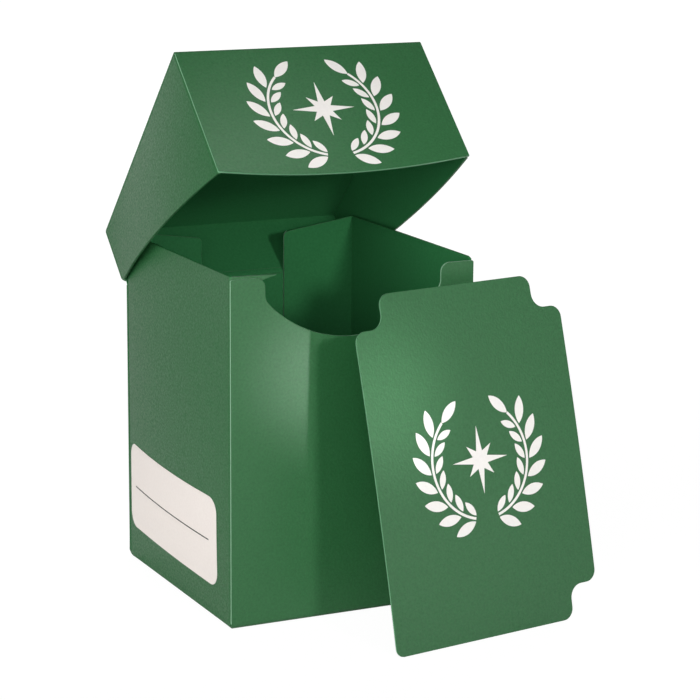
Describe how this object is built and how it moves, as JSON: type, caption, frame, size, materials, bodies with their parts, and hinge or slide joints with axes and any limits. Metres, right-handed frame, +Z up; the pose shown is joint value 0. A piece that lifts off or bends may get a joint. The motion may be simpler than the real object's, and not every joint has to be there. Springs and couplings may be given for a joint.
{
  "type": "deck case",
  "caption": "Folded plastic case for a deck of sleeved cards, with a thumb notch, a flip lid on a living hinge, a title label and a loose divider card.",
  "frame": {"origin": "centre of the case's floor, on the table", "axes": "+X to the right seen from the front, +Y towards the hinge at the back, +Z up"},
  "size_m": [0.0998, 0.1265, 0.1496],
  "materials": {
    "green_sheet": "satin polypropylene sheet with a fine sandblasted grain",
    "divider_sheet": "satin polypropylene sheet with a fine grain",
    "label_paper": "smooth uncoated paper",
    "label_ink": "thin printed ink",
    "pale_print": "off-white screen print"
  },
  "bodies": {
    "case": {"bottom_panel": "green_sheet", "front_panel": "green_sheet", "back_panel": "green_sheet", "left_side_panel": "green_sheet", "right_side_panel": "green_sheet", "left_front_flap": "green_sheet", "right_front_flap": "green_sheet", "left_back_flap": "green_sheet", "right_back_flap": "green_sheet", "living_hinge": "green_sheet", "title_label": "label_paper", "label_rule": "label_ink"},
    "lid": {"lid_back_panel": "green_sheet", "lid_top_panel": "green_sheet", "lid_front_panel": "green_sheet", "lid_left_side": "green_sheet", "lid_right_side": "green_sheet", "lid_left_front_flap": "green_sheet", "lid_right_front_flap": "green_sheet", "lid_emblem": "pale_print"},
    "divider": {"divider_card": "divider_sheet", "divider_emblem": "pale_print"}
  },
  "joints": [
    {"name": "lid_hinge", "type": "hinge", "parent": "case", "child": "lid", "pos_m": [0, 0.03755, 0.0802], "axis": [-1, 0, 0], "range_deg": [-46.7, 133.3]},
    {"name": "divider_lift", "type": "slide", "parent": "case", "child": "divider", "axis": [0, 0, 1], "range_m": [0, 0.1]}
  ]
}
